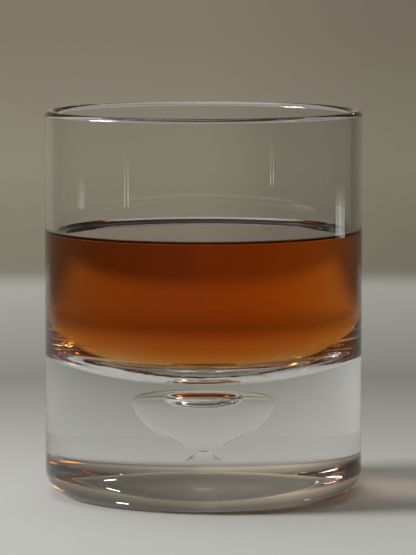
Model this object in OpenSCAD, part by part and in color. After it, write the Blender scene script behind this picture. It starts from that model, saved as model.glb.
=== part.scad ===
// Double old-fashioned whiskey tumbler with a thick base. A pocket shaped like a
// cocktail glass is sunk into the base from below, filled with a clear liquid in
// which one air bubble floats, and closed by a plug in its neck. A measure of
// whiskey stands in the bowl.
// The axis of the glass is Z and the foot rests on z = 0. Units are millimetres.

/* [Glass] */
// Outer diameter of the straight side
outer_d = 85; // [78:0.5:95]
// Height from the foot to the top of the rim
glass_h = 103; // [95:0.5:115]
// Thickness of the side wall, and of the fire-polished rim
wall_t = 2.9; // [2.2:0.1:4]
// Radius of the rounded heel between the foot and the side
heel_r = 7; // [4:0.5:9]
// Height of the domed hollow under the foot, at its middle
hollow_h = 7.2; // [4:0.1:8]
// Diameter of the hollow where it meets the foot
hollow_d = 66; // [56:1:66]

/* [Bowl] */
// Height of the middle of the bowl's floor above the foot
floor_z = 30.9; // [30.5:0.1:36]
// Radius of the dished floor
dish_r = 88; // [60:1:120]
// Radius of the rounded corner between the floor and the side
corner_r = 12; // [6:0.5:14]

/* [Pocket in the base] */
// Largest diameter of the pocket, at its shoulder
pocket_d = 25.3; // [22:0.1:28]
// Height of the shoulder above the foot
shoulder_z = 26.2; // [25:0.1:27]
// Rise of the pocket's dome above its shoulder
dome_h = 3.4; // [2.5:0.1:3.6]
// Diameter of the neck that the plug closes
neck_d = 6.4; // [5:0.1:8]

/* [Air bubble and plug] */
// Largest diameter of the air bubble under the dome
bubble_d = 14.4; // [8:0.2:16]
// Depth of the air bubble
bubble_h = 5.1; // [3:0.1:5.5]
// Height of the plug's flat tip above the foot
plug_tip_z = 13; // [11:0.1:13.2]
// Length of the cone that leads up to the tip
plug_cone_h = 2.5; // [1:0.1:4]
// Diameter of the flat tip
plug_tip_d = 2.1; // [1:0.1:4]

/* [Whiskey] */
// Height of the whiskey's level surface above the foot
fill_z = 70; // [50:0.5:90]
// Rise of the whiskey where it clings to the side
cling_h = 1.2; // [0.5:0.1:2.5]

/* [Hidden] */
outer_r = outer_d / 2;
inner_r = outer_r - wall_t;
rim_r = wall_t / 2;
pocket_r = pocket_d / 2;
neck_r = neck_d / 2;
hollow_r = hollow_d / 2;
bubble_r = bubble_d / 2;
// The pocket's outline turns from round cheeks to a straight funnel here
cheek = [pocket_r * 0.69, shoulder_z - 8];
// The funnel meets the rounded throat here, and the neck is straight below it
throat = [neck_r * 1.34, shoulder_z - 11.05];
neck_top_z = shoulder_z - 12.8;
// Liquid left between the air bubble and the dome
film_t = 0.15;
arc_steps = 14;
curve_steps = 10;
turn_fn = 96;

// Points on a round stretch, from one angle to the other
function arc(centre, r, from_a, to_a) =
    [for (i = [0:arc_steps])
        let (a = from_a + (to_a - from_a) * i / arc_steps)
        centre + r * [cos(a), sin(a)]];

// Points on a smooth stretch from a to d that leaves towards b and arrives from c
function curve(a, b, c, d) =
    [for (i = [0:curve_steps])
        let (t = i / curve_steps, u = 1 - t)
        u * u * u * a + 3 * u * u * t * b + 3 * u * t * t * c + t * t * t * d];

// Everything of a run of points but its first
function rest_of(line) = [for (i = [1:len(line) - 1]) line[i]];

// A run of points from its end to its start
function back(line) = [for (i = [len(line) - 1:-1:0]) line[i]];

// The bowl's floor is part of a ball, and its corner touches both floor and side
corner_x = inner_r - corner_r;
corner_z = floor_z + dish_r - sqrt(pow(dish_r - corner_r, 2) - pow(corner_x, 2));
dish_z = floor_z + dish_r;
join_a = atan2(corner_z - dish_z, corner_x);
bowl_line = concat(
    arc([0, dish_z], dish_r, -90, join_a),
    rest_of(arc([corner_x, corner_z], corner_r, join_a, 0)));

// The round lip, from the outside over the top to the inside
lip_line = arc([outer_r - rim_r, glass_h - rim_r], rim_r, 0, 180);

// The heel, from the flat foot round to the side
heel_line = arc([outer_r - heel_r, heel_r], heel_r, -90, 0);

// The hollow under the foot is part of a ball, from the axis out to the foot
hollow_ball_r = (hollow_r * hollow_r + hollow_h * hollow_h) / (2 * hollow_h);
hollow_z = hollow_h - hollow_ball_r;
foot_line = arc([0, hollow_z], hollow_ball_r, 90, atan2(-hollow_z, hollow_r));

// Half of the pocket's outline, from the top of the dome down to the neck
pocket_line = concat(
    curve([0, shoulder_z + dome_h], [pocket_r * 0.62, shoulder_z + dome_h],
          [pocket_r, shoulder_z + dome_h * 0.62], [pocket_r, shoulder_z]),
    rest_of(curve([pocket_r, shoulder_z], [pocket_r, shoulder_z - 3],
          [pocket_r * 0.84, shoulder_z - 6.65], cheek)),
    curve(throat, [neck_r * 1.09, shoulder_z - 11.6],
          [neck_r, shoulder_z - 12], [neck_r, neck_top_z]));

// Half of the plug's outline, from its tip down to where its cone is full width
plug_shoulder_z = plug_tip_z - plug_cone_h;
tip_line = [[0, plug_tip_z], [plug_tip_d / 2, plug_tip_z], [neck_r, plug_shoulder_z]];

// Half of the air bubble's outline: flat on top, round below
bubble_top = shoulder_z + dome_h - film_t;
bubble_side = [bubble_r, bubble_top - bubble_h * 0.42];
bubble_line = concat(
    curve([0, bubble_top], [bubble_r * 0.72, bubble_top],
          [bubble_r, bubble_top - bubble_h * 0.09], bubble_side),
    rest_of(curve(bubble_side, [bubble_r, bubble_top - bubble_h * 0.75],
          [bubble_r * 0.58, bubble_top - bubble_h], [0, bubble_top - bubble_h])));

// The whiskey's surface, from the side to the axis: it climbs where it clings
cling_w = cling_h * 3.5;
surface_line = curve([inner_r, fill_z + cling_h], [inner_r - cling_h * 0.5, fill_z + cling_h * 0.2],
                     [inner_r - cling_h * 1.5, fill_z], [inner_r - cling_w, fill_z]);

// One solid of glass: side, lip, bowl and thick base, with the pocket and its
// neck open to the hollow under the foot
module tumbler_glass() {
    color([0.86, 0.9, 0.88, 0.45])
    rotate_extrude($fn = turn_fn)
    difference() {
        polygon(concat(foot_line, heel_line, lip_line, back(bowl_line)));
        polygon(concat(pocket_line, [[neck_r, -1], [0, -1]]));
    }
}

// The clear liquid that fills the pocket round the air bubble, down to the plug
module pocket_fluid() {
    color([0.93, 0.95, 0.93, 0.4])
    rotate_extrude($fn = turn_fn)
    difference() {
        polygon(concat(pocket_line, back(tip_line)));
        polygon(bubble_line);
    }
}

// The clear plug in the neck, flush with the hollow under the foot, its tip up
module neck_plug() {
    color([0.8, 0.84, 0.84, 0.6])
    rotate_extrude($fn = turn_fn)
    polygon(concat(tip_line, [[neck_r, hollow_h], [0, hollow_h]]));
}

// The drink, from the floor of the bowl up to its surface
module whiskey() {
    color([0.62, 0.27, 0.04])
    rotate_extrude($fn = turn_fn)
    polygon(concat(bowl_line, surface_line, [[0, fill_z]]));
}

tumbler_glass();
pocket_fluid();
neck_plug();
whiskey();
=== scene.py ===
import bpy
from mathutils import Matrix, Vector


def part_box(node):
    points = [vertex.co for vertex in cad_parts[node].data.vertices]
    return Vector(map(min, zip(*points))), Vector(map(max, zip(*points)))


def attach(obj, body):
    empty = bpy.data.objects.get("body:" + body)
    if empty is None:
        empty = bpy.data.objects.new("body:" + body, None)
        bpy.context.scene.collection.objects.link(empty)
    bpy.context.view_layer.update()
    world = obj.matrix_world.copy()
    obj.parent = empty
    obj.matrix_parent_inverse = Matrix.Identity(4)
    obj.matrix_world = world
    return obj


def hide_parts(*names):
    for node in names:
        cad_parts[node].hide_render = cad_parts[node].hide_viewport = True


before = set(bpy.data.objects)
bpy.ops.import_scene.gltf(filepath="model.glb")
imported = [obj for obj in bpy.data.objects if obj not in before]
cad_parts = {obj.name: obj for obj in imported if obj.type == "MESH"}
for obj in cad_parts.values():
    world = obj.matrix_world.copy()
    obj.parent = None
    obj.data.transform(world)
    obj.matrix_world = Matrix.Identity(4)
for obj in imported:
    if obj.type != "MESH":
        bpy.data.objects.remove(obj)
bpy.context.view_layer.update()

import math

import bpy
from mathutils import Vector

MM = 0.001
SEGMENTS = 192          # straight sides in each turned ring
ARC_STEP = 2.5          # degrees between the rings of a round stretch
CURVE_STEPS = 22        # rings in a smooth stretch
LONG_STEP = 9.0         # mm between the rings of a straight stretch
CREASE = math.radians(20)
COLOR_A, COLOR_B, COLOR_RESULT = 6, 7, 2    # a Mix node's colour sockets

# ---------------------------------------------------------------- sizes, in mm

GLASS_LOW, GLASS_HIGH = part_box("tumbler_glass")
WHISKEY_LOW, WHISKEY_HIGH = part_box("whiskey")
POCKET_LOW, POCKET_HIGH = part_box("pocket_fluid")
PLUG_LOW, PLUG_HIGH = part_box("neck_plug")

outer_r = GLASS_HIGH.x / MM
rim_z = GLASS_HIGH.z / MM
inner_r = WHISKEY_HIGH.x / MM
wall_t = outer_r - inner_r
heel_r = 7.0
hollow_h = PLUG_LOW.z / MM
hollow_r = 33.0
floor_z = WHISKEY_LOW.z / MM
dish_r = 88.0
corner_r = 12.0
contact_z = WHISKEY_HIGH.z / MM
cling_h = 1.2
fill_z = contact_z - cling_h
pocket_top = POCKET_HIGH.z / MM
pocket_r = POCKET_HIGH.x / MM
neck_r = PLUG_HIGH.x / MM
plug_tip_z = PLUG_HIGH.z / MM
plug_tip_r = 1.05
plug_cone_h = 2.5
dome_h = 3.4
shoulder_z = pocket_top - dome_h
neck_top_z = shoulder_z - 12.8
bubble_r = 7.2
bubble_h = 5.1
film_t = 0.15           # liquid between the bubble and the dome
skin = 0.02             # gap between two pieces that touch, so that no faces coincide
near = 0.01             # how closely a face's middle has to agree with an outline


# ---------------------------------------------------------------- outlines

def arc(centre, r, from_a, to_a):
    """Points (radius, height) on a round stretch."""
    steps = max(2, math.ceil(abs(to_a - from_a) / ARC_STEP))
    angles = [math.radians(from_a + (to_a - from_a) * i / steps) for i in range(steps + 1)]
    return [(centre[0] + r * math.cos(a), centre[1] + r * math.sin(a)) for a in angles]


def curve(a, b, c, d):
    """Points on a smooth stretch from a to d that leaves towards b and arrives from c."""
    points = []
    for i in range(CURVE_STEPS + 1):
        t = i / CURVE_STEPS
        u = 1 - t
        weights = (u * u * u, 3 * u * u * t, 3 * u * t * t, t * t * t)
        points.append(tuple(sum(w * p[k] for w, p in zip(weights, (a, b, c, d))) for k in (0, 1)))
    return points


def straight(a, b):
    """Points on a straight stretch, with rings close to its ends that keep the shading flat."""
    length = math.dist(a, b)
    marks = [0.0, length]
    if length > 2.0:
        marks += [0.25, 0.75, length - 0.75, length - 0.25]
    whole = int(length / LONG_STEP)
    marks += [length * i / (whole + 1) for i in range(1, whole + 1)]
    return [tuple(a[k] + (b[k] - a[k]) * m / length for k in (0, 1)) for m in sorted(marks)]


def joined(*stretches):
    """One run of points, with each meeting point kept once."""
    points = []
    for stretch in stretches:
        for point in stretch:
            if not points or math.dist(points[-1], point) > 0.001:
                points.append(point)
    return points


def bowl_line(gap):
    """The dished floor and its corner, from the axis to the side, drawn in by a gap."""
    corner_x = inner_r - corner_r
    corner_z = floor_z + dish_r - math.sqrt((dish_r - corner_r) ** 2 - corner_x ** 2)
    join_a = math.degrees(math.atan2(corner_z - floor_z - dish_r, corner_x))
    return joined(
        arc((0, floor_z + dish_r), dish_r - gap, -90, join_a),
        arc((corner_x, corner_z), corner_r - gap, join_a, 0))


def hollow_line(from_r):
    """The domed hollow under the foot, from a radius out to the foot."""
    ball_r = (hollow_r ** 2 + hollow_h ** 2) / (2 * hollow_h)
    centre_z = hollow_h - ball_r
    start_a = math.degrees(math.acos(from_r / ball_r))
    return arc((0, centre_z), ball_r, start_a, math.degrees(math.atan2(-centre_z, hollow_r)))


def pocket_line(gap):
    """The pocket's wall, from the top of the dome down to the neck, drawn in by a gap."""
    r = pocket_r - gap
    neck = neck_r - gap
    cheek = (r * 0.69, shoulder_z - 8)
    throat = (neck * 1.34, shoulder_z - 11.05)
    return joined(
        curve((0, pocket_top - gap), (r * 0.62, pocket_top - gap),
              (r, shoulder_z + dome_h * 0.62), (r, shoulder_z)),
        curve((r, shoulder_z), (r, shoulder_z - 3), (r * 0.84, shoulder_z - 6.65), cheek),
        straight(cheek, throat),
        curve(throat, (neck * 1.09, shoulder_z - 11.6), (neck, shoulder_z - 12),
              (neck, neck_top_z)))


def bubble_line():
    """The air bubble: flat on top where it meets the dome, round below."""
    top = pocket_top - film_t
    side = (bubble_r, top - bubble_h * 0.42)
    return joined(
        curve((0, top), (bubble_r * 0.72, top), (bubble_r, top - bubble_h * 0.09), side),
        curve(side, (bubble_r, top - bubble_h * 0.75), (bubble_r * 0.58, top - bubble_h),
              (0, top - bubble_h)))


def surface_line():
    """The whiskey's surface, from the side to the axis: it climbs where it clings."""
    side = inner_r - skin
    return joined(
        curve((side, contact_z), (side - cling_h * 0.5, fill_z + cling_h * 0.2),
              (side - cling_h * 1.5, fill_z), (side - cling_h * 3.5, fill_z)),
        straight((side - cling_h * 3.5, fill_z), (0, fill_z)))


# ---------------------------------------------------------------- turning

def turn(name, outline):
    """Draws an outline that starts and ends on the axis, point by point, and spins it closed."""
    bpy.ops.object.select_all(action="DESELECT")
    r, z = outline[0]
    bpy.ops.mesh.primitive_plane_add(size=MM, location=(0, 0, 0))
    piece = bpy.context.object
    piece.name = name
    bpy.ops.object.mode_set(mode="EDIT")
    bpy.ops.mesh.select_mode(type="VERT")
    bpy.ops.mesh.select_all(action="SELECT")
    bpy.ops.mesh.merge(type="CENTER")
    bpy.ops.transform.translate(value=(r * MM, 0, z * MM))
    for next_r, next_z in outline[1:]:
        bpy.ops.mesh.extrude_region_move(
            TRANSFORM_OT_translate={"value": ((next_r - r) * MM, 0, (next_z - z) * MM)})
        r, z = next_r, next_z
    bpy.ops.mesh.select_all(action="SELECT")
    bpy.ops.mesh.spin(steps=SEGMENTS, angle=2 * math.pi, center=(0, 0, 0), axis=(0, 0, 1))
    bpy.ops.mesh.select_all(action="SELECT")
    bpy.ops.mesh.remove_doubles(threshold=0.001 * MM)
    bpy.ops.mesh.normals_make_consistent(inside=False)
    bpy.ops.object.mode_set(mode="OBJECT")
    return piece


def finish_piece(piece, body, node):
    """Smooths the shading between creases and ties the piece to the part."""
    bpy.ops.object.select_all(action="DESELECT")
    piece.select_set(True)
    bpy.context.view_layer.objects.active = piece
    bpy.ops.object.shade_smooth_by_angle(angle=CREASE)
    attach(piece, body)
    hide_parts(node)


def coat(piece, material, belongs):
    """Gives a material to the faces whose middle (radius, height), in mm, passes a test.
    A later coat covers an earlier one."""
    piece.data.materials.append(material)
    index = len(piece.data.materials) - 1
    for face in piece.data.polygons:
        c = face.center
        if belongs(math.hypot(c.x, c.y) / MM, c.z / MM):
            face.material_index = index


# ---------------------------------------------------------------- materials

def clear_material(name, ior, smear=0.0, ripple=0.0):
    """Clear glass or liquid. smear is the roughness of its faint smears, and ripple is the
    depth in mm of the faint upright draw lines in its surface."""
    material = bpy.data.materials.new(name)
    material.use_nodes = True
    nodes, links = material.node_tree.nodes, material.node_tree.links
    shader = nodes["Principled BSDF"]
    shader.inputs["Base Color"].default_value = (1, 1, 1, 1)
    shader.inputs["Transmission Weight"].default_value = 1.0
    shader.inputs["IOR"].default_value = ior
    shader.inputs["Roughness"].default_value = 0.0
    where = nodes.new("ShaderNodeTexCoord")
    if smear:
        patches = nodes.new("ShaderNodeTexNoise")
        patches.inputs["Scale"].default_value = 55
        patches.inputs["Detail"].default_value = 5
        links.new(where.outputs["Object"], patches.inputs["Vector"])
        level = nodes.new("ShaderNodeMapRange")
        level.inputs["From Min"].default_value = 0.56
        level.inputs["From Max"].default_value = 0.8
        level.inputs["To Max"].default_value = smear
        links.new(patches.outputs["Fac"], level.inputs["Value"])
        links.new(level.outputs["Result"], shader.inputs["Roughness"])
    if ripple:
        upright = nodes.new("ShaderNodeMapping")
        upright.inputs["Scale"].default_value = (1, 1, 0.06)
        links.new(where.outputs["Object"], upright.inputs["Vector"])
        waves = nodes.new("ShaderNodeTexNoise")
        waves.inputs["Scale"].default_value = 150
        waves.inputs["Detail"].default_value = 2
        links.new(upright.outputs["Vector"], waves.inputs["Vector"])
        bump = nodes.new("ShaderNodeBump")
        bump.inputs["Strength"].default_value = 1.0
        bump.inputs["Distance"].default_value = ripple * MM
        links.new(waves.outputs["Fac"], bump.inputs["Height"])
        links.new(bump.outputs["Normal"], shader.inputs["Normal"])
    return material


def whiskey_material(name, ior, ripple=0.0):
    """The drink: clear, and deeper amber the more of it the light crosses."""
    material = clear_material(name, ior, ripple=ripple)
    nodes, links = material.node_tree.nodes, material.node_tree.links
    amber = nodes.new("ShaderNodeVolumeAbsorption")
    amber.inputs["Color"].default_value = (0.917, 0.61, 0.06, 1)
    amber.inputs["Density"].default_value = 80
    links.new(amber.outputs["Volume"], nodes["Material Output"].inputs["Volume"])
    return material


# A face between two clear pieces carries the ratio of their indices, and the piece
# that touches it from the other side is left without an effect, with an index of 1.
GLASS_IOR = 1.51
WHISKEY_IOR = 1.36
FLUID_IOR = 1.485
PLUG_IOR = 1.53

dry_glass = clear_material("dry_glass", GLASS_IOR, smear=0.02, ripple=0.012)
glass_on_whiskey = clear_material(
    "glass_on_whiskey", GLASS_IOR / WHISKEY_IOR, smear=0.03, ripple=0.08)
glass_on_fluid = clear_material("glass_on_fluid", GLASS_IOR / FLUID_IOR)
plug_on_fluid = clear_material("plug_on_fluid", PLUG_IOR / FLUID_IOR, ripple=0.004)
glued_glass = clear_material("glued_glass", 1.0)
fluid_on_air = clear_material("fluid_on_air", FLUID_IOR, ripple=0.004)
fluid_on_glass = clear_material("fluid_on_glass", 1.0)
whiskey_on_air = whiskey_material("whiskey_on_air", WHISKEY_IOR, ripple=0.01)
whiskey_on_glass = whiskey_material("whiskey_on_glass", 1.0)


# ---------------------------------------------------------------- the glass

lip_r = wall_t / 2
plug_shoulder_z = plug_tip_z - plug_cone_h
bowl = bowl_line(0)
side_top = rim_z - lip_r
glass = turn("glass_body", joined(
    pocket_line(0),
    straight((neck_r, neck_top_z), (neck_r, plug_shoulder_z)),
    straight((neck_r, plug_shoulder_z), (neck_r, hollow_line(neck_r)[0][1])),
    hollow_line(neck_r),
    straight((hollow_r, 0), (outer_r - heel_r, 0)),
    arc((outer_r - heel_r, heel_r), heel_r, -90, 0),
    straight((outer_r, heel_r), (outer_r, side_top)),
    arc((outer_r - lip_r, side_top), lip_r, 0, 180),
    straight((inner_r, side_top), (inner_r, contact_z)),
    straight((inner_r, contact_z), bowl[-1]),
    reversed(bowl)))
coat(glass, dry_glass, lambda r, z: True)
coat(glass, glass_on_whiskey,
     lambda r, z: r < inner_r + near and floor_z - 0.1 < z < contact_z)
coat(glass, glass_on_fluid,
     lambda r, z: r < pocket_r + near and plug_shoulder_z < z < pocket_top + near)
coat(glass, glued_glass,
     lambda r, z: abs(r - neck_r) < near and hollow_h - 0.1 < z < plug_shoulder_z)
finish_piece(glass, "root", "tumbler_glass")

# ---------------------------------------------------------------- the plug

plug_r = neck_r - skin
plug = turn("neck_plug_glass", joined(
    straight((0, plug_tip_z), (plug_tip_r, plug_tip_z)),
    straight((plug_tip_r, plug_tip_z), (plug_r, plug_shoulder_z)),
    straight((plug_r, plug_shoulder_z), (plug_r, hollow_h + skin)),
    straight((plug_r, hollow_h + skin), (0, hollow_h + skin))))
coat(plug, dry_glass, lambda r, z: True)
coat(plug, plug_on_fluid, lambda r, z: z > plug_shoulder_z)
coat(plug, glued_glass, lambda r, z: r > plug_r - 0.05 and z < plug_shoulder_z)
finish_piece(plug, "root", "neck_plug")

# ---------------------------------------------------------------- the pocket's liquid

neck_fluid_r = neck_r - skin
fluid = turn("pocket_liquid", joined(
    pocket_line(skin),
    straight((neck_fluid_r, neck_top_z), (neck_fluid_r, plug_shoulder_z + skin)),
    straight((neck_fluid_r, plug_shoulder_z + skin), (plug_tip_r, plug_tip_z + skin)),
    straight((plug_tip_r, plug_tip_z + skin), (0, plug_tip_z + skin))))
coat(fluid, fluid_on_glass, lambda r, z: True)

bubble = turn("air_bubble", bubble_line())
coat(bubble, fluid_on_air, lambda r, z: True)
bubble.data.flip_normals()
bpy.ops.object.select_all(action="DESELECT")
bubble.select_set(True)
fluid.select_set(True)
bpy.context.view_layer.objects.active = fluid
bpy.ops.object.join()
finish_piece(fluid, "root", "pocket_fluid")

# ---------------------------------------------------------------- the whiskey

drink_bowl = bowl_line(skin)
drink = turn("whiskey_drink", joined(
    drink_bowl,
    straight(drink_bowl[-1], (inner_r - skin, contact_z)),
    surface_line()))
coat(drink, whiskey_on_glass, lambda r, z: True)
coat(drink, whiskey_on_air, lambda r, z: z > fill_z - near and r < inner_r - skin - 0.001)
finish_piece(drink, "root", "whiskey")

# ---------------------------------------------------------------- table and light

TABLE_GAP = 0.1         # mm between the foot and the table, so that no faces coincide


def fade_between(nodes, links, source, solid, clear):
    """One where the source is below solid, falling smoothly to nothing at clear."""
    fade = nodes.new("ShaderNodeMapRange")
    fade.interpolation_type = "SMOOTHSTEP"
    fade.inputs["From Min"].default_value = solid
    fade.inputs["From Max"].default_value = clear
    fade.inputs["To Min"].default_value = 1
    fade.inputs["To Max"].default_value = 0
    links.new(source, fade.inputs["Value"])
    return fade.outputs["Result"]


def times(nodes, links, source, factor):
    """The product of a socket with a number or with another socket."""
    product = nodes.new("ShaderNodeMath")
    product.operation = "MULTIPLY"
    links.new(source, product.inputs[0])
    if isinstance(factor, (int, float)):
        product.inputs[1].default_value = factor
    else:
        links.new(factor, product.inputs[1])
    return product.outputs[0]


def table_material(far, near_side, sides):
    """A pale cloth with a painted shadow band across it behind the glass, that melts into the
    room. Each edge is given as the distance in metres where it starts to fade and the one where
    it is gone."""
    material = bpy.data.materials.new("pale_table")
    material.use_nodes = True
    nodes, links = material.node_tree.nodes, material.node_tree.links
    shader = nodes["Principled BSDF"]
    shader.inputs["Roughness"].default_value = 0.9
    shader.inputs["Specular IOR Level"].default_value = 0.1
    where = nodes.new("ShaderNodeTexCoord")
    split = nodes.new("ShaderNodeSeparateXYZ")
    links.new(where.outputs["Object"], split.inputs["Vector"])
    behind = split.outputs["Y"]
    in_front = times(nodes, links, behind, -1)
    aside = nodes.new("ShaderNodeMath")
    aside.operation = "ABSOLUTE"
    links.new(split.outputs["X"], aside.inputs[0])
    here = times(nodes, links, fade_between(nodes, links, behind, *far),
                 fade_between(nodes, links, aside.outputs[0], *sides))
    here = times(nodes, links, here, fade_between(nodes, links, in_front, *near_side))
    links.new(here, shader.inputs["Alpha"])
    reach = nodes.new("ShaderNodeMapRange")
    reach.inputs["From Max"].default_value = far[1]
    links.new(behind, reach.inputs["Value"])
    painted_shadow_tone = nodes.new("ShaderNodeValToRGB")
    links.new(reach.outputs["Result"], painted_shadow_tone.inputs["Fac"])
    stops = painted_shadow_tone.color_ramp.elements
    stops[0].color = (0.64, 0.65, 0.61, 1)
    stops[1].color = (0.66, 0.66, 0.6, 1)
    stops[1].position = 0.85
    # painted shadow: the cloth darkens to half its brightness in a soft band behind the glass,
    # darkest at 0.4 of the way to the far fade
    stops.new(0.4).color = (0.33, 0.33, 0.3, 1)
    links.new(painted_shadow_tone.outputs["Color"], shader.inputs["Base Color"])
    return material


bpy.ops.object.select_all(action="DESELECT")
bpy.ops.mesh.primitive_plane_add(size=1, location=(0, 0.145, -TABLE_GAP * MM))
table = bpy.context.object
table.name = "table_top"
table.scale = (0.9, 1.03, 1)
bpy.ops.object.transform_apply(location=True, rotation=True, scale=True)
table.data.materials.append(
    table_material(far=(0.55, 0.64), near_side=(0.115, 0.36), sides=(0.26, 0.42)))


def ramp_of(nodes, links, source, stops):
    """A colour for each value between -1 and 1."""
    span = nodes.new("ShaderNodeMapRange")
    span.inputs["From Min"].default_value = -1
    links.new(source, span.inputs["Value"])
    ramp = nodes.new("ShaderNodeValToRGB")
    links.new(span.outputs["Result"], ramp.inputs["Fac"])
    stop_list = ramp.color_ramp.elements
    stop_list.remove(stop_list[-1])
    stop_list[0].position = (stops[0][0] + 1) / 2
    stop_list[0].color = (*stops[0][1], 1)
    for value, color in stops[1:]:
        stop_list.new((value + 1) / 2).color = (*color, 1)
    return ramp.outputs["Color"]


def tinted(nodes, links, color, tint):
    """One colour multiplied by another."""
    mix = nodes.new("ShaderNodeMix")
    mix.data_type = "RGBA"
    mix.blend_type = "MULTIPLY"
    mix.inputs["Factor"].default_value = 1
    links.new(color, mix.inputs[COLOR_A])
    links.new(tint, mix.inputs[COLOR_B])
    return mix.outputs[COLOR_RESULT]


def room_light():
    """A soft room: a taupe wall behind, paler low down, dim above, at the sides and in front."""
    world = bpy.data.worlds.new("room")
    bpy.context.scene.world = world
    world.use_nodes = True
    nodes, links = world.node_tree.nodes, world.node_tree.links
    where = nodes.new("ShaderNodeTexCoord")
    split = nodes.new("ShaderNodeSeparateXYZ")
    links.new(where.outputs["Generated"], split.inputs["Vector"])
    height = ramp_of(nodes, links, split.outputs["Z"], [
        (-1.0, (0.05, 0.05, 0.045)), (-0.2, (0.12, 0.11, 0.09)),
        (-0.13, (0.2, 0.18, 0.136)), (-0.09, (0.195, 0.176, 0.13)),
        (-0.069, (0.235, 0.212, 0.158)), (-0.036, (0.19, 0.165, 0.123)),
        (0.0, (0.2, 0.178, 0.14)), (0.06, (0.38, 0.325, 0.24)),
        (0.13, (0.26, 0.222, 0.165)), (0.35, (0.13, 0.115, 0.09)),
        (0.5, (0.12, 0.108, 0.086)), (0.8, (0.16, 0.148, 0.122)), (1.0, (0.6, 0.6, 0.58))])
    depth = ramp_of(nodes, links, split.outputs["Y"], [
        (y, (level,) * 3) for y, level in ((-1.0, 0.3), (-0.3, 0.34), (0.3, 1.0))])
    side = ramp_of(nodes, links, split.outputs["X"], [
        (x, (level,) * 3) for x, level in (
            (-1.0, 0.45), (-0.8, 0.6), (-0.4, 1.2), (-0.045, 1.12),
            (0.0, 1.1), (0.045, 0.9), (0.4, 0.6), (1.0, 0.3))])
    color = tinted(nodes, links, tinted(nodes, links, height, depth), side)
    links.new(color, nodes["Background"].inputs["Color"])


def soft_box(name, place, size, power):
    """A square soft light aimed at the middle of the glass."""
    bpy.ops.object.light_add(type="AREA", location=place)
    box = bpy.context.object
    box.name = name
    box.data.size = size
    box.data.energy = power
    aim = Vector((0, 0, 0.05)) - Vector(place)
    box.rotation_euler = aim.to_track_quat("-Z", "Y").to_euler()


def glow_card(name, place, size, strength):
    """An upright bright card that faces the glass, like a window seen in its side. It is
    brightest at its foot and fades to nothing at its top."""
    bpy.ops.object.select_all(action="DESELECT")
    bpy.ops.mesh.primitive_plane_add(size=1, location=place)
    card = bpy.context.object
    card.name = name
    card.scale = (size[0], size[1], 1)
    aim = Vector((0, 0, place[2])) - Vector(place)
    card.rotation_euler = aim.to_track_quat("Z", "Y").to_euler()
    bpy.ops.object.transform_apply(location=True, rotation=True, scale=True)
    material = bpy.data.materials.new(name)
    material.use_nodes = True
    shader = material.node_tree.nodes["Principled BSDF"]
    shader.inputs["Base Color"].default_value = (0, 0, 0, 1)
    shader.inputs["Emission Color"].default_value = (1, 1, 0.98, 1)
    nodes, links = material.node_tree.nodes, material.node_tree.links
    where = nodes.new("ShaderNodeTexCoord")
    split = nodes.new("ShaderNodeSeparateXYZ")
    links.new(where.outputs["Object"], split.inputs["Vector"])
    foot, top = place[2] - size[1] / 2, place[2] + size[1] / 2
    glow = fade_between(nodes, links, split.outputs["Z"], foot, top)
    links.new(times(nodes, links, glow, strength), shader.inputs["Emission Strength"])
    card.data.materials.append(material)


room_light()
glow_card("window_right", (0.88, 0.47, 0.0), (0.12, 0.03), 1.9)
glow_card("window_left", (-0.9, -0.58, 0.012), (0.012, 0.03), 6)
glow_card("high_window_left", (-0.5, 0.85, 0.4), (0.05, 0.04), 1.3)
glow_card("high_window_right", (0.36, 0.9, 0.42), (0.07, 0.06), 5)
soft_box("key_light", (-0.95, -0.15, 0.5), 0.35, 11)
soft_box("top_light", (-0.2, 0.1, 1.3), 0.9, 4)

# ---------------------------------------------------------------- camera

camera_height = 0.16703
camera_distance = 1.12337
camera_down = math.radians(5.5445)
camera_right = math.radians(0.0626)
bpy.ops.object.camera_add(location=(0, -camera_distance, camera_height))
camera = bpy.context.object
camera.name = "camera"
camera.rotation_euler = (math.pi / 2 - camera_down, 0, -camera_right)
camera.data.lens = 272.955
camera.data.sensor_width = 36
camera.data.clip_start = 0.01
camera.data.clip_end = 20
scene = bpy.context.scene
scene.camera = camera
scene.view_settings.view_transform = "Standard"
scene.cycles.max_bounces = 32
scene.cycles.transmission_bounces = 32
scene.cycles.glossy_bounces = 16
scene.cycles.transparent_max_bounces = 32
scene.cycles.sample_clamp_indirect = 10
